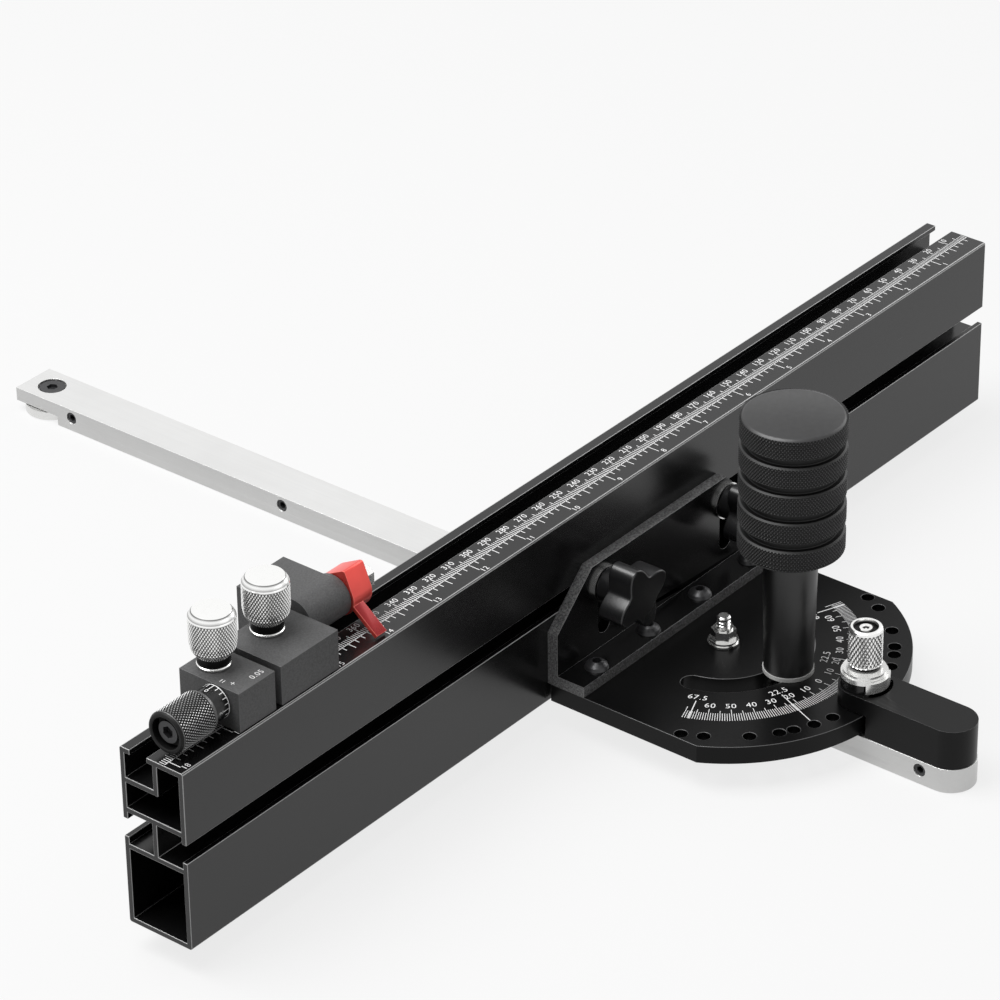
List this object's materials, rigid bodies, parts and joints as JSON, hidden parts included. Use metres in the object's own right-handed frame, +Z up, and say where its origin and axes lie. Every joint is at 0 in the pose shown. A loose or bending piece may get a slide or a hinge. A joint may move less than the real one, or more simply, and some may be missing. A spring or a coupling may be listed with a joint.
{
  "type": "miter gauge",
  "caption": "Table saw miter gauge: slotted fence with rule and flip stop on a swivelling protractor head, knurled handle, index plunger and slot bar.",
  "frame": {"origin": "the swivel axis of the head where it meets the underside of the bar", "axes": "+X along the fence to the right, +Y along the bar away from the user, +Z up"},
  "size_m": [0.46, 0.4479, 0.1216],
  "materials": {
    "bare_aluminium": "satin, bare",
    "black_anodised": "satin, black anodised",
    "black_grained": "fine grain, black anodised",
    "black_knurled": "knurled, black anodised",
    "silver_knurled": "knurled, bright plated",
    "bright_steel": "bright zinc plated",
    "dark_steel": "black oxide",
    "white_matte": "natural nylon",
    "black_plastic": "moulded, satin",
    "red_anodised": "bright, red anodised"
  },
  "bodies": {
    "bar": {"miter_bar": "bare_aluminium", "guide_disc": "bright_steel", "guide_screw": "dark_steel", "side_set_screws": "dark_steel", "pointer_block": "black_anodised", "block_screws": "dark_steel", "pivot_bolt": "bright_steel", "pivot_bush": "bright_steel", "pivot_shim": "white_matte", "pivot_washer": "bright_steel", "pivot_nut": "bright_steel"},
    "plunger": {"plunger_pin": "bright_steel", "plunger_sleeve": "black_anodised", "plunger_collar": "bright_steel", "plunger_knob": "silver_knurled"},
    "handle_carrier": {"handle_washer": "bright_steel"},
    "handle": {"handle_stud": "bright_steel", "handle_post": "black_anodised", "handle_grip": "black_knurled"},
    "head": {"protractor_plate": "black_grained", "fence_bracket": "black_anodised", "bracket_screws": "dark_steel"},
    "clamp_carriage": {"clamp_bolts": "bright_steel", "clamp_washers": "bright_steel"},
    "left_knob": {"clamp_knob_left": "black_plastic"},
    "right_knob": {"clamp_knob_right": "black_plastic"},
    "fence": {"fence_extrusion": "black_anodised"},
    "adjuster": {"adjuster_block": "black_grained", "adjuster_tnut": "bright_steel"},
    "adjuster_thumb": {"adjuster_thumb_screw": "bright_steel", "adjuster_thumb_knob": "silver_knurled"},
    "fine_screw": {"micro_knob": "black_knurled", "micro_thimble": "black_anodised", "micro_screw": "dark_steel"},
    "stop": {"stop_block": "black_grained", "stop_tnut": "bright_steel", "arm_bolt": "bright_steel", "arm_washer": "bright_steel", "arm_nut": "bright_steel"},
    "stop_thumb": {"stop_thumb_screw": "bright_steel", "stop_thumb_knob": "silver_knurled"},
    "arm": {"flip_arm": "black_grained"},
    "lever": {"clamp_lever": "red_anodised"}
  },
  "joints": [
    {"name": "index_plunger", "type": "slide", "parent": "bar", "child": "plunger", "axis": [0, 0, 1], "range_m": [-0.0036, 0]},
    {"name": "handle_rise", "type": "slide", "parent": "bar", "child": "handle_carrier", "axis": [0, 0, 1], "range_m": [0, 0.00125]},
    {"name": "handle_turn", "type": "hinge", "parent": "handle_carrier", "child": "handle", "pos_m": [0, -0.0285, 0.04], "axis": [0, 0, 1], "range_deg": [0, 360]},
    {"name": "head_swivel", "type": "hinge", "parent": "bar", "child": "head", "pos_m": [0, 0, 0.013], "axis": [0, 0, 1], "range_deg": [-67.5, 67.5]},
    {"name": "fence_lift", "type": "slide", "parent": "head", "child": "clamp_carriage", "axis": [0, 0, 1], "range_m": [0, 0.003]},
    {"name": "left_knob_turn", "type": "hinge", "parent": "clamp_carriage", "child": "left_knob", "pos_m": [-0.0325, 0.02, 0.04795], "axis": [0, 1, 0], "range_deg": [0, 360]},
    {"name": "right_knob_turn", "type": "hinge", "parent": "clamp_carriage", "child": "right_knob", "pos_m": [0.0395, 0.02, 0.04795], "axis": [0, 1, 0], "range_deg": [0, 360]},
    {"name": "fence_slide", "type": "slide", "parent": "clamp_carriage", "child": "fence", "axis": [1, 0, 0], "range_m": [-0.15, 0.18]},
    {"name": "stop_slide", "type": "slide", "parent": "fence", "child": "adjuster", "axis": [1, 0, 0], "range_m": [-0.02, 0.33]},
    {"name": "adjuster_thumb_turn", "type": "hinge", "parent": "adjuster", "child": "adjuster_thumb", "pos_m": [-0.2095, 0.0524, 0.1], "axis": [0, 0, 1], "range_deg": [0, 360]},
    {"name": "fine_turn", "type": "hinge", "parent": "adjuster", "child": "fine_screw", "pos_m": [-0.2107, 0.0435, 0.0887], "axis": [1, 0, 0], "range_deg": [-720, 720]},
    {"name": "stop_fine", "type": "slide", "parent": "adjuster", "child": "stop", "axis": [1, 0, 0], "range_m": [-0.002, 0.002]},
    {"name": "stop_thumb_turn", "type": "hinge", "parent": "stop", "child": "stop_thumb", "pos_m": [-0.18315, 0.0524, 0.1], "axis": [0, 0, 1], "range_deg": [0, 360]},
    {"name": "arm_flip", "type": "hinge", "parent": "stop", "child": "arm", "pos_m": [-0.1591, 0.0535, 0.0908], "axis": [1, 0, 0], "range_deg": [0, 110]},
    {"name": "lever_turn", "type": "hinge", "parent": "stop", "child": "lever", "pos_m": [-0.1441, 0.0535, 0.0908], "axis": [1, 0, 0], "range_deg": [-135, 0]}
  ],
  "couplings": [
    {"joint": "handle_turn", "follows": "handle_rise", "rad_per_m": 5026.5},
    {"joint": "fine_turn", "follows": "stop_fine", "rad_per_m": -6283.1}
  ]
}
